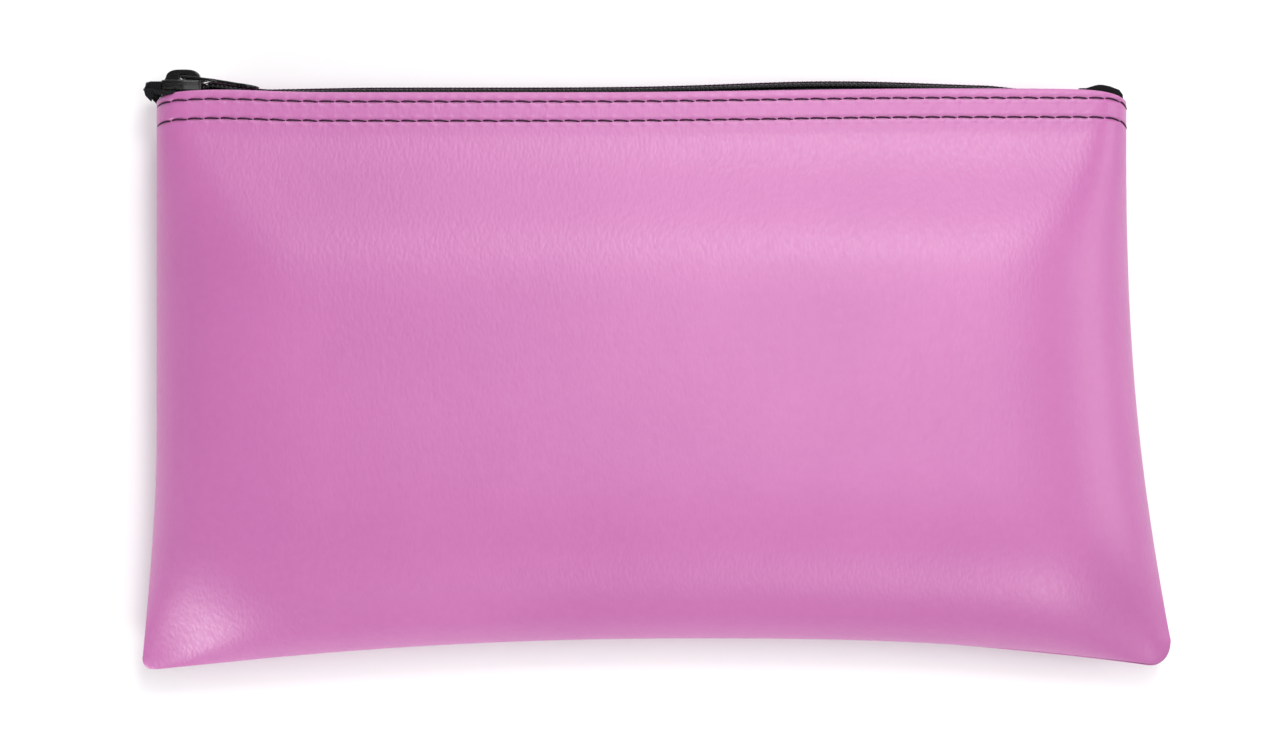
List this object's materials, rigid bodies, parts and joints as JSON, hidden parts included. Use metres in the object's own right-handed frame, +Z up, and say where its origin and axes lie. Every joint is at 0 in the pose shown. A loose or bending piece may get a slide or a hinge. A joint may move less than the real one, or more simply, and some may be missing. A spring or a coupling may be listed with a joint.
{
  "type": "cash deposit bag",
  "caption": "Flat zippered pouch of smooth coated vinyl for banknotes and coins, with a twice-stitched hem, a coil zipper along its long edge and a slider with a pull tab.",
  "frame": {"origin": "middle of the bag's footprint, on the surface that it lies on", "axes": "+X along the zipper from its closed end to its open end, +Y from the bottom seam to the zipper, +Z up through the thickness, out of the front panel"},
  "size_m": [0.2796, 0.163, 0.032],
  "materials": {
    "vinyl": "smooth pink coated vinyl with a fine leather grain, semi-gloss",
    "zipper_tape": "black woven polyester",
    "zipper_coil": "black nylon monofilament",
    "thread": "dark purple-black twisted thread",
    "slider_metal": "glossy black enamel on zinc"
  },
  "bodies": {
    "bag": {"back_panel": "vinyl", "front_panel": "vinyl", "zipper_tape_back": "zipper_tape", "zipper_coil_back": "zipper_coil", "coil_cord_back": "zipper_tape", "coil_stitching_back": "thread", "top_stop_back": "slider_metal", "top_stop_front": "slider_metal", "bottom_stop": "slider_metal", "back_hem_thread_upper": "thread", "back_hem_thread_lower": "thread", "side_seam_thread_left": "thread", "side_seam_thread_right": "thread", "bottom_seam_thread": "thread"},
    "mouth": {"front_panel_mouth": "vinyl", "zipper_tape_front": "zipper_tape", "zipper_coil_front": "zipper_coil", "coil_cord_front": "zipper_tape", "coil_stitching_front": "thread", "front_hem_thread_upper": "thread", "front_hem_thread_lower": "thread"},
    "slider": {"slider_body": "slider_metal"},
    "pull": {"pull_tab": "slider_metal"}
  },
  "joints": [
    {"name": "slider_travel", "type": "slide", "parent": "bag", "child": "slider", "axis": [1, -0.0068, 0], "range_m": [0, 0.236], "deforming": ["zipper_coil_back", "zipper_coil_front", "zipper_tape_back", "coil_cord_back", "coil_stitching_back"]},
    {"name": "mouth_open", "type": "hinge", "parent": "bag", "child": "mouth", "pos_m": [0, 0.005, 0.032], "axis": [1, 0, 0], "range_deg": [0, 22], "deforming": ["zipper_tape_front", "coil_cord_front", "coil_stitching_front", "front_hem_thread_upper", "front_hem_thread_lower"]},
    {"name": "pull_swing", "type": "hinge", "parent": "slider", "child": "pull", "pos_m": [-0.1281, 0.0791, 0.013], "axis": [0, 0, 1], "range_deg": [0, 163]}
  ],
  "couplings": [
    {"joint": "mouth_open", "follows": "slider_travel", "rad_per_m": 1.62}
  ]
}
